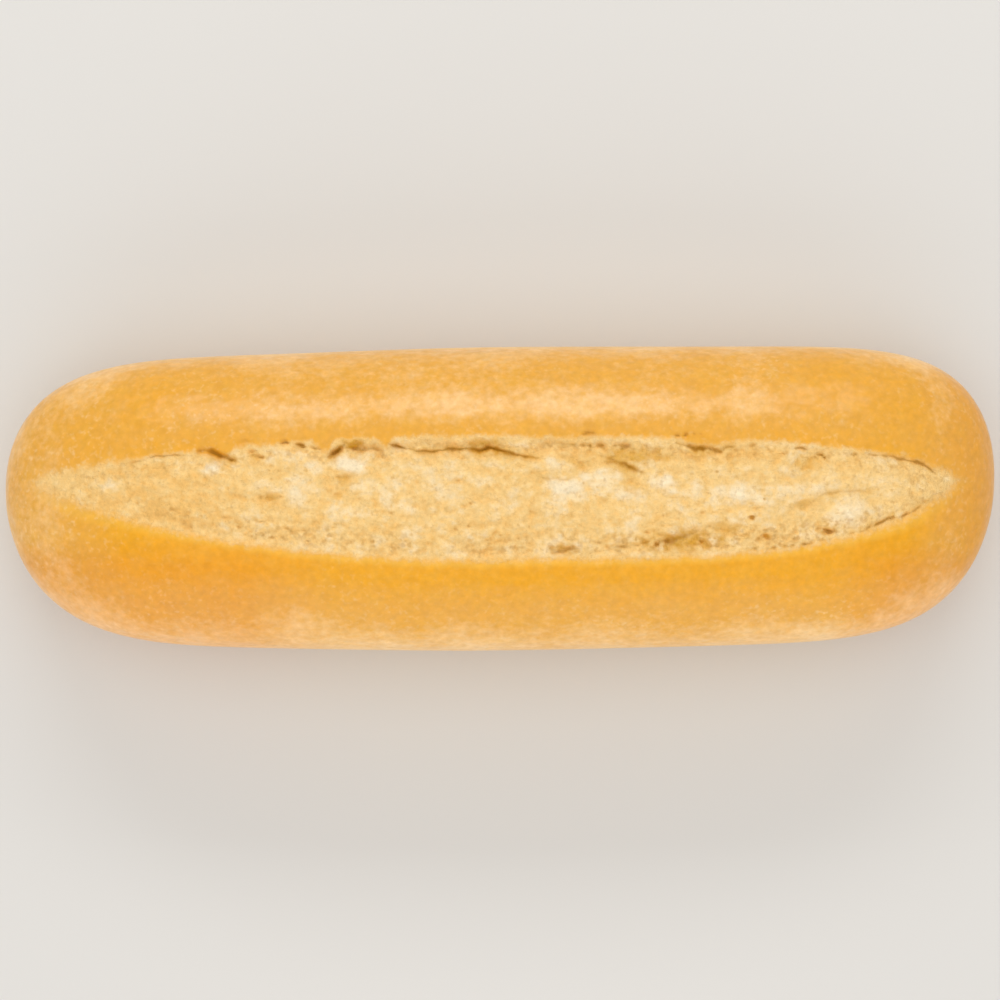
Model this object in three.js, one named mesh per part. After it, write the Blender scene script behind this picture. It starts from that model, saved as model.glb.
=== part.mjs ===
// A sub roll: one baked loaf with a flat base, blunt rounded ends and a long slash in its crown.
// The slash has opened in the oven into a leaf shape. Smooth crust lips stand along both of its
// sides, and the torn crumb between them is lumpy, with cracks where it pulled away from the crust.
// Millimetres, +Z up, +X along the loaf. The origin is the middle of the footprint, on the base.
import * as THREE from "three";
import { mergeVertices } from "three/addons/utils/BufferGeometryUtils.js";

// Loaf
const rollLength = 210;
const rollWidth = 64.4;
const crownHeight = 41.5; // bare dome, before the lips rise
const crownArch = 2.2; // extra rise of the dome at the middle of the length
const girthHeight = 17; // level of the widest outline
const bellyDepth = 18.6; // girth to the lowest point of the belly, before the base cuts it flat
const crownSquareness = 2.5; // exponent of the rounded section above the girth
const bellySquareness = 3; // and below it

// Ends, each as [left, right]
const outlineFullness = [7, 8]; // the higher, the blunter the end seen from above
const crownFullness = [4.6, 5.2]; // and seen from the side
const bellyFullness = 12;
const taper = [0.033, 0.016]; // share of the width lost towards each end
const taperReach = 0.6;
const skew = 1.22; // sideways drift of the middle line over half the length
const endBend = [3, 3.5]; // sideways curl of each end
const endBendPower = 6;

// Opened slash
const slashLength = 196;
const slashMiddle = -1.3;
const slashAxis = 3.6; // y of the line that joins its two tips
const spreadUp = 9.5; // opening on the +Y side of that line
const spreadDown = 17.2; // and on the -Y side
const tipPower = [2, 3.6];
const tipPoint = [0.6, 2.4]; // the larger, the more pointed the tip
const spreadUpPower = [0.78, 0.55];
const spreadDownPower = [0.7, 0.55];
const openingFade = [0.18, 0.08]; // share of the half length over which the opening grows deep

// Crust tongues that reach into the slash from its +Y edge, each with a long and a short side
const tongues = [
  { tip: -57, reach: 2, run: 8, snap: 2.6 },
  { tip: -36, reach: 1.8, run: 3.4, snap: 2 },
  { tip: -23.5, reach: 1.2, run: 2.6, snap: 2.4 },
  { tip: 43, reach: 1.4, run: 8, snap: 8 },
];

// Lips and crumb
const lipRise = 0.5;
const lipCrest = 4; // from the slash edge to the top of the lip
const lipBreadth = 5;
const crumbDrop = 0.7; // crumb below the bare dome, just inside the lips
const crumbBulge = 1.2; // rise of the crumb towards the middle of the slash
const softEdge = [3, 2.6]; // width of the step down from the lip, -Y side and +Y side

// Waves of the torn crumb and of the crust: lengths over two pi, how each is bent, and height
const smallLumps = { along: 4.1, across: 3.3, bend: [1.6, 1.2], bendOver: [3.7, 6.3], height: 0.41 };
const largeLumps = { along: 9.7, across: 6.1, bend: 2, bendOver: 17, height: 0.34 };
const crustSwell = { along: 15, across: 13, bend: [1.4, 1], bendOver: [11, 23], height: 0.35 };

// Hollow strip where the crumb tore away from the +Y lip
const tear = { from: -66, to: 52, fade: 8, inset: 2.8, breadth: 1.9, depth: 0.4 };

// Round lumps of crumb: middle, half sizes and rise
const bulges = [
  { at: [81, 4.4], size: [10.9, 4.6], rise: 0.22 },
  { at: [72, -3.2], size: [6.9, 5], rise: 0.34 },
  { at: [58.6, 1.6], size: [5.8, 2.8], rise: 0.7 },
  { at: [48, 1.2], size: [10.4, 3.4], rise: 0.75 },
  { at: [34.2, 3], size: [5.3, 3.4], rise: 0.8 },
  { at: [26, 1], size: [6.9, 2.5], rise: 0.5 },
  { at: [20.5, 4.2], size: [5.8, 3], rise: 0.9 },
  { at: [13.6, 2.4], size: [6.2, 3], rise: 0.8 },
  { at: [10.8, 7.6], size: [3.7, 2], rise: 0.6 },
  { at: [-28, 2], size: [4.6, 3.4], rise: 0.5 },
  { at: [-30.3, 6.9], size: [5.3, 3], rise: 0.8 },
  { at: [-41.4, 2.5], size: [4.1, 5], rise: 0.5 },
  { at: [-46.5, 9.4], size: [8, 3], rise: 0.4 },
  { at: [-60, 6.5], size: [7.4, 2.2], rise: 0.85 },
];

// Hollows in the crumb: middle, half sizes and depth
const hollows = [
  { at: [-30, 11.4], size: [3.8, 1.9], depth: 1.4 },
  { at: [13.6, -10.4], size: [5.4, 1.9], depth: 0.95 },
  { at: [-47.6, 0.3], size: [2.6, 1.6], depth: 0.6 },
  { at: [-32.3, 3.6], size: [2.6, 2], depth: 0.5 },
  { at: [63.1, -1.3], size: [2.6, 1.8], depth: 0.5 },
  { at: [37.8, -8.4], size: [10.5, 3.4], depth: 0.9 },
  { at: [27.4, 9], size: [9, 2.6], depth: 0.75 },
  { at: [-3, 11.6], size: [5.5, 1.6], depth: 0.7 },
];

// Cracks in the crumb: points along each as [x, y], depth and breadth of the steep side
const cracks = [
  { line: [[-73, 8.5], [-69, 8.9], [-65.2, 8.8]], depth: 0.9, wall: 0.8 },
  { line: [[-62.6, 9.4], [-61, 10], [-59, 9.2], [-56.9, 8.6], [-54, 7.6]], depth: 1.9, wall: 0.9 },
  { line: [[-35.8, 8.2], [-32.9, 10.2], [-28.4, 10], [-25.3, 10], [-23.8, 9.4]], depth: 1.8, wall: 1.4 },
  { line: [[-23.6, 11.5], [-19.7, 10.2], [-14.5, 9.6], [-9.3, 10.2], [-8, 9.6]], depth: 1.4, wall: 0.9 },
  { line: [[-8.8, 9.6], [-7.2, 10.2], [-2.1, 10], [1, 9.4], [3.1, 8.8], [8.4, 8.2]], depth: 1.9, wall: 0.9 },
  { line: [[6, 5.6], [9.3, 4.2], [12.4, 3.8], [15.2, 4.1]], depth: 0.7, wall: 0.9 },
  { line: [[20.4, 7.7], [24, 7.6], [25.9, 6.7], [27.7, 6.1], [30.8, 4.8]], depth: 1.9, wall: 0.9 },
  { line: [[36, 11.6], [40.4, 10.2], [42.4, 10.7], [45.7, 9.6], [49, 10.9]], depth: 1.4, wall: 0.9 },
  { line: [[70.5, 9.6], [78.7, 9], [83.8, 8.4], [88, 7.2], [90.4, 6]], depth: 1.2, wall: 0.8 },
  { line: [[71, -7.6], [75, -6.9], [79, -4.9], [83.2, -3.8], [88, -1.3], [92, 2.2]], depth: 1.2, wall: 0.9 },
  { line: [[10.8, -11.2], [13.5, -10.9], [14.9, -10], [18.6, -9.4]], depth: 1.1, wall: 1 },
  { line: [[22.4, -10], [25.9, -9.8], [29.4, -9.6]], depth: 0.8, wall: 0.9 },
  { line: [[29.6, -9.9], [31.1, -10.5], [34.2, -8.8], [39.3, -7.6], [42, -5.8]], depth: 1.2, wall: 1 },
];
const crackShoulder = 1.6; // breadth of the round side of a crack, towards -Y

// Rings along the loaf and lanes around it
const rings = 92;
const noseStart = 0.8; // share of the rings up to each nose, where they close up
const flankLanes = 6;
const lipLanes = 5;
const crumbLanes = 26;
const bellyLanes = 6;
const baseLanes = 4;
const lanes = 2 * (flankLanes + lipLanes + bellyLanes) + crumbLanes + baseLanes;
const baseAngle = 1.08; // turn from the girth to the edge of the flat base, in radians
const lipReach = 8.5; // width of the band that the lip lanes cover
const narrowestBand = 3; // half width of the crumb lanes where the slash runs out
const bandAtNose = 0.4; // of the half width, once past the slash
const pastSlash = [0.86, 0.95]; // shares of the half length between which the lanes leave the slash

const { clamp, lerp, smoothstep } = THREE.MathUtils;

// The value for the end that t lies towards
const endValue = (t, [left, right]) => (t < 0 ? left : right);

// Height of a superellipse of half width and height 1
const arch = (v, squareness) => (1 - Math.min(1, Math.abs(v)) ** squareness) ** (1 / squareness);

// How much of the loaf's girth is left at t, which runs from -1 to 1 along it
const nose = (t, fullness) => Math.sqrt(Math.max(0, 1 - Math.abs(t) ** fullness));

function outline(t) {
  const narrowing = 1 - endValue(t, taper) * smoothstep(Math.abs(t), 0, taperReach);
  return (rollWidth / 2) * narrowing * nose(t, endValue(t, outlineFullness));
}

function middleLine(t) {
  return skew * t + endValue(t, endBend) * Math.abs(t) ** endBendPower;
}

// How far the crust tongues reach into the slash at x
function tongueReach(x) {
  let reach = 0;
  for (const tongue of tongues) {
    const past = x - tongue.tip;
    const left = 1 - (past < 0 ? -past / tongue.run : past / tongue.snap);
    reach = Math.max(reach, tongue.reach * smoothstep(left, 0, 1));
  }
  return reach;
}

// Slash edges at x. share runs from -1 to 1 between the tips.
function slashAt(x) {
  const share = (2 * (x - slashMiddle)) / slashLength;
  const left = 1 - Math.min(1, Math.abs(share)) ** endValue(share, tipPower);
  const fromTip = (Math.max(0, 1 - Math.abs(share)) * slashLength) / 2;
  const point = fromTip / (fromTip + endValue(share, tipPoint));
  return {
    upper: slashAxis + spreadUp * point * left ** endValue(share, spreadUpPower),
    lower: slashAxis - spreadDown * point * left ** endValue(share, spreadDownPower),
    open: smoothstep(1 - Math.abs(share), 0, endValue(share, openingFade)),
  };
}

// A point's turn along one wave that is bent by another
const turn = (a, length, bend, b, over) => a / length + bend * Math.sin(b / over);

// Uneven rise and fall of the torn crumb
function lumps(x, y) {
  const { along, across, bend, bendOver, height } = smallLumps;
  const rows = Math.sin(turn(x, along, bend[0], y, bendOver[0]));
  const columns = Math.sin(turn(y, across, bend[1], x, bendOver[1]));
  const slant = turn(x, largeLumps.along, largeLumps.bend, x, largeLumps.bendOver) + y / largeLumps.across;
  return height * rows * columns + largeLumps.height * Math.sin(slant);
}

// Slow swell of the crust
function swell(x, y) {
  const { along, across, bend, bendOver, height } = crustSwell;
  const rows = Math.sin(turn(x, along, bend[0], y, bendOver[0]));
  return height * rows * Math.cos(turn(y, across, bend[1], x, bendOver[1]));
}

// y of a line of points at x, which lies between its ends
function lineAt(line, x) {
  const next = line.findIndex(([end]) => x <= end);
  const [[x0, y0], [x1, y1]] = [line[next - 1], line[next]];
  return lerp(y0, y1, (x - x0) / (x1 - x0));
}

// Depth of the cracks at a point of the crown
function crackDepth(x, y) {
  let depth = 0;
  for (const { line, depth: deepest, wall } of cracks) {
    const along = (x - line[0][0]) / (line.at(-1)[0] - line[0][0]);
    if (along <= 0 || along >= 1) continue;
    const past = y - lineAt(line, x);
    const away = past / (past > 0 ? wall : crackShoulder);
    depth = Math.max(depth, deepest * Math.sqrt(Math.sin(Math.PI * along)) * Math.exp(-away * away));
  }
  return depth;
}

// How much of a round lump or hollow there is at a point of the crumb, 1 at its middle
function roundness(x, y, { at, size }) {
  return 1 - smoothstep(Math.hypot((x - at[0]) / size[0], (y - at[1]) / size[1]), 0, 1);
}

const bulgeRise = (x, y) => Math.max(...bulges.map((bulge) => bulge.rise * roundness(x, y, bulge)));
const hollowDepth = (x, y) => Math.max(...hollows.map((hollow) => hollow.depth * roundness(x, y, hollow)));

// Depth of the torn strip below the +Y lip
function tearDepth(x, y, slash) {
  const ends = smoothstep(x - tear.from, 0, tear.fade) * smoothstep(tear.to - x, 0, tear.fade);
  const away = (y - slash.upper + tear.inset) / tear.breadth;
  return tear.depth * ends * Math.exp(-away * away);
}

// What the slash adds to the dome's height at a point of the crown
function slashRelief(x, y, slash) {
  const outside = Math.max(y - slash.upper, slash.lower - y);
  const fromCrest = (outside - lipCrest) / lipBreadth;
  const lip = lipRise * Math.exp(-fromCrest * fromCrest);
  const crack = crackDepth(x, y);
  if (outside >= 0) return slash.open * (lip - crack);
  const torn = slash.upper - tongueReach(x) - y;
  const inside = smoothstep(y - slash.lower, 0, softEdge[0]) * smoothstep(torn, 0, softEdge[1]);
  const bed = crumbBulge * Math.sin((Math.PI * (y - slash.lower)) / (slash.upper - slash.lower)) - crumbDrop;
  const rough = bulgeRise(x, y) + lumps(x, y) - tearDepth(x, y, slash) - hollowDepth(x, y);
  return slash.open * (lerp(lip, bed + rough, inside) - crack);
}

// Height of the crown at a point above the girth: the dome, the slash and the swell of the crust
function crownHeightAt(x, t, y) {
  const full = nose(t, endValue(t, crownFullness));
  const rise = full * (crownHeight - girthHeight + crownArch * (1 - t * t));
  const dome = rise * arch((y - middleLine(t)) / outline(t), crownSquareness);
  return girthHeight + dome + full * (slashRelief(x, y, slashAt(x)) + swell(x, y));
}

// A point on the flank or the underside, by its angle round the section
function sidePoint(x, t, angle) {
  const half = outline(t);
  const across = Math.cos(angle);
  const up = Math.sin(angle);
  if (up >= 0) {
    const y = middleLine(t) + half * Math.sign(across) * Math.abs(across) ** (2 / crownSquareness);
    return new THREE.Vector3(x, y, crownHeightAt(x, t, y));
  }
  const y = middleLine(t) + half * Math.sign(across) * Math.abs(across) ** (2 / bellySquareness);
  const drop = bellyDepth * nose(t, bellyFullness) * Math.abs(up) ** (2 / bellySquareness);
  return new THREE.Vector3(x, y, Math.max(0, girthHeight - drop));
}

// Angle at which the section reaches a share of its half width
const angleAt = (share) => Math.acos(Math.sign(share) * Math.abs(share) ** (crownSquareness / 2));

// Where a lane lies on the section at t: round the +Y flank, over the crown, down the -Y flank and under
function lanePoint(t, lane) {
  const x = (t * rollLength) / 2;
  const half = outline(t);
  const middle = middleLine(t);
  if (half === 0) return new THREE.Vector3(x, middle, girthHeight); // tip of a nose
  const slash = slashAt(x);
  const past = smoothstep(Math.abs(t), ...pastSlash);
  const share = (y) => clamp((y - middle) / half, -1, 1);
  const bandUp = lerp(share(Math.max(slash.upper, slashAxis + narrowestBand)), bandAtNose, past);
  const bandDown = lerp(share(Math.min(slash.lower, slashAxis - narrowestBand)), -bandAtNose, past);
  const lipUp = lerp(bandUp, 1, lipReach / (rollWidth / 2));
  const lipDown = lerp(bandDown, -1, lipReach / (rollWidth / 2));
  const stops = [
    { count: flankLanes, angles: [0, angleAt(lipUp)] },
    { count: lipLanes, shares: [lipUp, bandUp] },
    { count: crumbLanes, shares: [bandUp, bandDown] },
    { count: lipLanes, shares: [bandDown, lipDown] },
    { count: flankLanes, angles: [angleAt(lipDown), Math.PI] },
    { count: bellyLanes, angles: [Math.PI, Math.PI + baseAngle] },
    { count: baseLanes, angles: [Math.PI + baseAngle, 2 * Math.PI - baseAngle] },
    { count: bellyLanes, angles: [2 * Math.PI - baseAngle, 2 * Math.PI] },
  ];
  let left = lane;
  for (const { count, angles, shares } of stops) {
    if (left <= count) {
      if (angles) return sidePoint(x, t, lerp(...angles, left / count));
      const y = middle + half * lerp(...shares, left / count);
      return new THREE.Vector3(x, y, crownHeightAt(x, t, y));
    }
    left -= count;
  }
}

// Share of the half length at a ring, spaced evenly and closing up round each nose
function ringPlace(ring) {
  const even = 2 * (ring / rings) - 1;
  const far = Math.abs(even);
  const t = far < noseStart ? (2 * far) / (1 + noseStart) : 1 - (1 - far) ** 2 / (1 - noseStart ** 2);
  return Math.sign(even) * t;
}

// A ball's rings and lanes, laid over the loaf
function rollGeometry() {
  const ball = new THREE.SphereGeometry(1, lanes, rings);
  const { position, uv } = ball.attributes;
  for (let i = 0; i < position.count; i++) {
    const ring = Math.round(uv.getY(i) * rings);
    const lane = ring % rings === 0 ? 0 : Math.round(uv.getX(i) * lanes) % lanes;
    const point = lanePoint(ringPlace(ring), lane);
    position.setXYZ(i, point.x, point.y, point.z);
  }
  ball.deleteAttribute("normal");
  ball.deleteAttribute("uv");
  const roll = mergeVertices(ball);
  roll.computeBoundingBox();
  const { min, max } = roll.boundingBox;
  roll.translate(-(min.x + max.x) / 2, -(min.y + max.y) / 2, -min.z);
  roll.computeVertexNormals();
  return roll;
}

const crust = new THREE.MeshStandardMaterial({ color: 0xe8ab55, roughness: 0.6, metalness: 0 });
const roll = new THREE.Mesh(rollGeometry(), crust);
roll.name = "roll";

const loaf = new THREE.Group();
loaf.add(roll);

export default loaf;
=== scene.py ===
import math

import bmesh
import bpy
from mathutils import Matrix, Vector, noise


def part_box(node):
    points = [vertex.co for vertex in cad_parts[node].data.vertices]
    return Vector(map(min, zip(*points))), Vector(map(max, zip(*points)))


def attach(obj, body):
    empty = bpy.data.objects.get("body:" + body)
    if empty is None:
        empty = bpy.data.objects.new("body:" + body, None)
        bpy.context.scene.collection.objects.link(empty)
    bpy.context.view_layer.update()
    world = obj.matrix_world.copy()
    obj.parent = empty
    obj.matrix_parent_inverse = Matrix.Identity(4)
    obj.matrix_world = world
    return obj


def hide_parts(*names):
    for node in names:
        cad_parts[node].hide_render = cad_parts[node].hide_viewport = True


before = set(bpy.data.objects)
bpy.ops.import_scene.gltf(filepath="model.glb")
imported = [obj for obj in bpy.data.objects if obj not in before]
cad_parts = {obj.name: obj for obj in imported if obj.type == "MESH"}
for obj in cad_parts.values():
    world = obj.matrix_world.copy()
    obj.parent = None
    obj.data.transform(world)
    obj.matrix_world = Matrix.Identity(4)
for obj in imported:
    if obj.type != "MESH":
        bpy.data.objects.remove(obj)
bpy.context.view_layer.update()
rollLow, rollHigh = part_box("roll")
mm = 0.001
print("frame loaded, roll", [round(size / mm, 1) for size in rollHigh - rollLow], "mm")


# sRGB hex to the linear colour that the shaders take
def hexColour(text):
    shares = [int(text[i:i + 2], 16) / 255 for i in (1, 3, 5)]
    return [s / 12.92 if s <= 0.04045 else ((s + 0.055) / 1.055) ** 2.4 for s in shares] + [1.0]


# one node with its settings and links; inputs are given by name, or in the order of its live sockets
def addNode(tree, kind, inputs=(), output="", **settings):
    node = tree.nodes.new("ShaderNode" + kind)
    for name, value in settings.items():
        setattr(node, name, value)
    if isinstance(inputs, dict):
        sockets = [node.inputs[name] for name in inputs]
        inputs = inputs.values()
    else:
        sockets = [socket for socket in node.inputs if socket.enabled]
    for socket, value in zip(sockets, inputs):
        if isinstance(value, bpy.types.NodeSocket):
            tree.links.new(value, socket)
        else:
            socket.default_value = value
    return node.outputs.get(output) or next((socket for socket in node.outputs if socket.enabled), None)


def newMaterial(name):
    material = bpy.data.materials.new(name)
    material.use_nodes = True
    material.node_tree.nodes.clear()
    return material, material.node_tree


def smoothStep(value, low, high):
    share = min(1.0, max(0.0, (value - low) / (high - low)))
    return share * share * (3 - 2 * share)


def blend(a, b, share):
    return a + (b - a) * share


def bell(away, breadth):
    return math.exp(-(away / breadth) ** 2)


# the roll's form, in millimetres
# pairs are left end, right end unless said otherwise, and spans run from, to
subRoll = dict(
    loaf=dict(
        length=(rollHigh.x - rollLow.x) / mm,
        width=64.4,
        crownHeight=41.5,        # bare dome, before the lips rise
        crownArch=2.2,           # extra rise at mid length
        girthHeight=17,          # level of the widest outline
        bellyDepth=18.6,         # girth to belly, before the base cuts it flat
        crownSquareness=2.5,
        bellySquareness=3,
        outlineFullness=(7, 8),
        crownFullness=(4.6, 5.2),
        bellyFullness=12,
        taper=(0.033, 0.016),
        taperReach=0.6,
        skew=1.22,
        endBend=(3, 3.5),
        endBendPower=6,
        swell=0.35,              # slow unevenness of the crown
        swellAlong=(15, 1.4, 11),   # wave, bend, wave of the bend
        swellAcross=(13, 1, 23),
        dimples=((0.1, 9), (0.035, 3.2)),   # faint ones of the crust: height, size
    ),
    slash=dict(
        length=196,
        middle=-1.3,
        axis=3.6,                # y of the line that joins its tips
        spreadUp=9.5,
        spreadDown=17.2,
        tipPower=(2, 3.6),
        tipPoint=(0.6, 2.4),     # the larger, the more pointed its tips
        spreadUpPower=(0.78, 0.55),
        spreadDownPower=(0.7, 0.55),
        fade=(0.18, 0.08),       # share of half the length over which it opens
        lipRise=0.5,
        lipCrest=4,
        lipBreadth=5,
        softEdge=(3, 2.6),       # step down from the lip, -Y side and +Y side
        blur=(2.2, 1.4),         # breadth of the change from crust to crumb, -Y side and +Y side
        blurAtTip=(2, 2),        # how many times broader it grows towards each tip
        blurSpan=((-65, -88), (72, 90)),
        tongueBlur=0.5,          # extra breadth of it for each millimetre that a tongue hangs in
        spill=(0.6, 0.7),        # how far the crumb's colour runs past the edge, -Y side and +Y side
        trim=(3, 0),             # how far short of each tip its colour starts to close
        closing=0.5,             # how fast it closes from there
        leastBreadth=0.01,
        ragged=0.6,              # how far the torn crust edge wanders
        raggedGrain=dict(size=2.3, seed=6),
        fineRagged=0.5,          # share of its finer wandering
        fineRaggedGrain=dict(size=0.8, seed=7),
        raggedLow=0.8,           # share of the wandering on the -Y side
    ),
    # crust tongues that hang into the slash from its +Y edge
    tongues=(
        dict(tip=-57, reach=2, run=8, snap=2.6),
        dict(tip=-36, reach=1.8, run=3.4, snap=2),
        dict(tip=-23.5, reach=1.2, run=2.6, snap=2.4),
        dict(tip=43, reach=1.4, run=8, snap=8),
    ),
    # strip where the crumb pulled away from the +Y lip
    tear=dict(start=-66, end=52, fade=8, inset=2.8, breadth=1.9, depth=0.4),
    crumb=dict(
        drop=0.7,                # below the lips
        bulge=1.2,               # rise along its middle
        lumps=0.75,              # height of its unevenness
        smallLumps=0.55,         # share of the small ones
        smallAlong=(4.1, 1.6, 3.7),   # wave, bend, wave of the bend
        smallAcross=(3.3, 1.2, 6.3),
        largeLumps=0.45,
        largeWaves=(9.7, 6.1),   # along, across
        largeBend=(2, 17),       # bend, wave of the bend
        pillow=0.8,              # rounded lumps with creases between them
        pillowGrain=dict(size=5, seed=4, stretch=1.3),
        knob=0.6,                # smaller ones
        knobGrain=dict(size=2, seed=5, stretch=1.2),
        grit=0.26,
        gritGrain=dict(size=0.75, seed=8),
        sink=0.36,               # keeps the mean level of the three
        tornRelief=0.5,          # how much rougher torn crumb is
        calm=0.4,                # how much smoother the right end is
        calmSpan=(60, 70),
        flouryHighlight=(1.05, 1.5),      # how far the fine relief and the bulges whiten it, as pale flour and painted highlight
        hollowShade=0.8,         # shade for each millimetre of a hollow's depth
    ),
    # crumb pits: spacing, share of them that opens and how strongly, with what torn crumb adds to each
    largePits=dict(
        spacing=2.4, seed=1, share=0.3, tornShare=0.5,
        strength=0.5, tornStrength=0.3, depth=0.55, mark=1,
    ),
    smallPits=dict(
        spacing=1.2, seed=2, share=0.35, tornShare=0.45,
        strength=0.7, tornStrength=0.5, depth=0.22, mark=0.6,
    ),
    pits=dict(
        stretch=1.25,
        radius=0.3,              # of the spacing
        radiusSwing=0.14,
        floor=0.25,              # share of the radius that lies flat
        swing=0.4,               # how far the large ones come and go
        grain=dict(size=9, seed=9),
        seedStep=5.7,            # keeps the two kinds apart
        drawStep=3.7,            # scatters the draws of neighbouring pits
    ),
    # where the crumb is browner: toasted in its left part, less so at the tip, and painted shade in a
    # band below the +Y edge
    toastAndShade=dict(
        left=0.5,
        leftSpan=(-45, -72),
        tip=0.6,
        tipSpan=(-80, -90),
        band=0.3,
        bandStart=(1, 2.5),      # distance from the torn edge
        bandEnd=(6, 4),
        bandSpan=(-20, 0),
    ),
    # where the crumb is torn: patches along the -Y edge, the +Y edge, the right tip and the lower right
    torn=dict(
        edges=0.7,
        lowSpan=(8, 4),          # distance from the -Y edge
        highSpan=(5, 2),         # distance from the +Y edge
        patchSpan=(-0.4, 0.2),
        patchGrain=dict(size=12, seed=12),
        tip=0.8,
        tipSpan=(82, 89),
        right=0.9,
        rightStart=(18, 28),
        rightEnd=(78, 70),
    ),
    # round lumps of crumb: middle, half sizes, rise
    bulges=(
        dict(at=(81, 4.4), size=(9.5, 4), rise=0.22),
        dict(at=(72, -3.2), size=(6, 4.4), rise=0.5),
        dict(at=(65.5, 1.8), size=(5.6, 2), rise=0.55),
        dict(at=(45.4, 6), size=(4.6, 2.4), rise=0.35),
        dict(at=(58.6, 1.6), size=(5, 2.4), rise=0.7),
        dict(at=(51.4, -4), size=(7, 2.2), rise=0.35),
        dict(at=(56, -5.6), size=(3.4, 1.6), rise=0.4),
        dict(at=(58.8, 6), size=(2.4, 2), rise=0.4),
        dict(at=(48, 1.2), size=(9, 3), rise=0.75),
        dict(at=(40.5, 1.6), size=(4.4, 2.6), rise=0.75),
        dict(at=(34.2, 3), size=(4.6, 3), rise=0.8),
        dict(at=(28.4, -11.5), size=(2.4, 0.9), rise=0.5),
        dict(at=(26, 1), size=(6, 2.2), rise=0.5),
        dict(at=(20.5, 4.2), size=(5, 2.6), rise=0.9),
        dict(at=(13.6, 2.4), size=(5.4, 2.6), rise=0.8),
        dict(at=(15.5, 0.4), size=(6.5, 2.4), rise=0.5),
        dict(at=(10.8, 7.6), size=(3.2, 1.8), rise=0.6),
        dict(at=(-10.4, 7.8), size=(3, 1), rise=0.3),
        dict(at=(-4, 3.8), size=(3.4, 2.2), rise=0.35),
        dict(at=(-16, 6), size=(8, 2.6), rise=0.3),
        dict(at=(-23.4, -0.3), size=(2.2, 2.4), rise=0.4),
        dict(at=(-28, 2), size=(4, 3), rise=0.5),
        dict(at=(-38, 6), size=(2.6, 3.4), rise=0.4),
        dict(at=(-30.3, 6.9), size=(4.6, 2.6), rise=0.8),
        dict(at=(-41.4, 2.5), size=(3.6, 4.4), rise=0.5),
        dict(at=(-46.5, 9.4), size=(7, 2.6), rise=0.4),
        dict(at=(-60, 6.5), size=(6.4, 1.9), rise=0.85),
        dict(at=(-81.3, 2.8), size=(2.2, 1.5), rise=0.5),
    ),
    bulgeEdge=dict(swing=0.4, grain=dict(size=2.6, seed=13), fade=(0, 1.15)),
    # hollows in the crumb, browned by painted shade that grows with their depth: middle, half sizes,
    # depth
    hollows=(
        dict(at=(-30.2, 11.3), size=(4.2, 2), depth=1.05),
        dict(at=(13.6, -10.6), size=(5, 1.5), depth=0.7),
        dict(at=(16.2, 7.1), size=(3.6, 1.7), depth=0.4),
        dict(at=(-47.6, 0.3), size=(2.6, 1.4), depth=0.6),
        dict(at=(-32.3, 3.6), size=(2.4, 2), depth=0.5),
        dict(at=(63.1, -1.3), size=(2.2, 1.6), depth=0.5),
        dict(at=(67.3, -5), size=(1.6, 1.2), depth=0.35),
        dict(at=(52.2, -3.8), size=(0.9, 0.8), depth=1),
        dict(at=(54.9, -7.6), size=(1.5, 0.8), depth=0.9),
        dict(at=(48.6, -5.5), size=(1.8, 1), depth=0.5),
        dict(at=(67.5, -7), size=(1.8, 0.6), depth=0.7),
        dict(at=(37.8, -8.4), size=(10.5, 3.4), depth=0.9),
        dict(at=(46, -6), size=(5, 2.4), depth=0.5),
        dict(at=(27.4, 2.4), size=(2.2, 2.4), depth=0.4),
        dict(at=(27.4, 9), size=(9, 2.6), depth=0.75),
        dict(at=(-33.5, 0.6), size=(1.6, 0.9), depth=0.5),
        dict(at=(-3, 11.6), size=(5.5, 1.6), depth=0.7),
        dict(at=(63, 7), size=(4, 2.4), depth=0.4),
    ),
    hollowEdge=dict(swing=0.5, grain=dict(size=1.3, seed=11), fade=(0.25, 1)),
    spotReach=1.4,               # half sizes from its middle to which a lump or hollow is looked for
    # cracks in the crumb: points along each, depth, half breadth of the gap, breadth of its steep side,
    # and for one that is broken into dots how much of it is open
    cracks=(
        dict(line=((-62.6, 9.4), (-61, 10), (-59, 9.2), (-56.9, 8.6), (-54, 7.6)),
             depth=1.6, gap=0.6, wall=0.8),
        dict(line=((-35.8, 8.2), (-34.4, 9.2), (-32.9, 10.4), (-31.4, 11.8)),
             depth=1.3, gap=0.7, wall=0.7),
        dict(line=((-33, 10.2), (-31, 10.1), (-28.4, 10), (-27, 10.4), (-25.3, 10), (-23.8, 9.4)),
             depth=0.7, gap=0.5, wall=2),
        dict(line=((-23.6, 11.5), (-21.7, 10.9), (-19.7, 10.2), (-17.4, 10)),
             depth=1.1, gap=0.36, wall=0.5),
        dict(line=((-18.4, 9.8), (-14.5, 9.6), (-11.4, 10), (-9.3, 10.2), (-6.5, 9.9)),
             depth=1.05, gap=0.42, wall=0.5),
        dict(line=((-11.4, 9.7), (-7.2, 10.2), (-4.1, 9.8), (-2.1, 10.4), (0.4, 9.8), (3.1, 8.8),
                   (8.4, 8.2)),
             depth=1.35, gap=0.5, wall=0.7),
        dict(line=((6, 5.6), (9.3, 4.2), (12.4, 3.8), (15.2, 4.1)), depth=0.5, gap=0.3, wall=0.6),
        dict(line=((21, 7.7), (23, 7.5), (24, 7.6), (25.9, 6.7), (27.7, 6.1), (30.4, 5)),
             depth=1.2, gap=0.65, wall=1),
        dict(line=((36, 11.6), (38.3, 10.9), (40.4, 10.2), (42.4, 10.4), (44.5, 10), (45.7, 9.6),
                   (46.6, 10.7), (49, 10.9)),
             depth=1.25, gap=0.62, wall=0.8),
        dict(line=((70.5, 9.4), (74, 9.2), (78.7, 9), (83.8, 8.3)),
             depth=0.7, gap=0.4, wall=0.4, broken=0.45),
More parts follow.
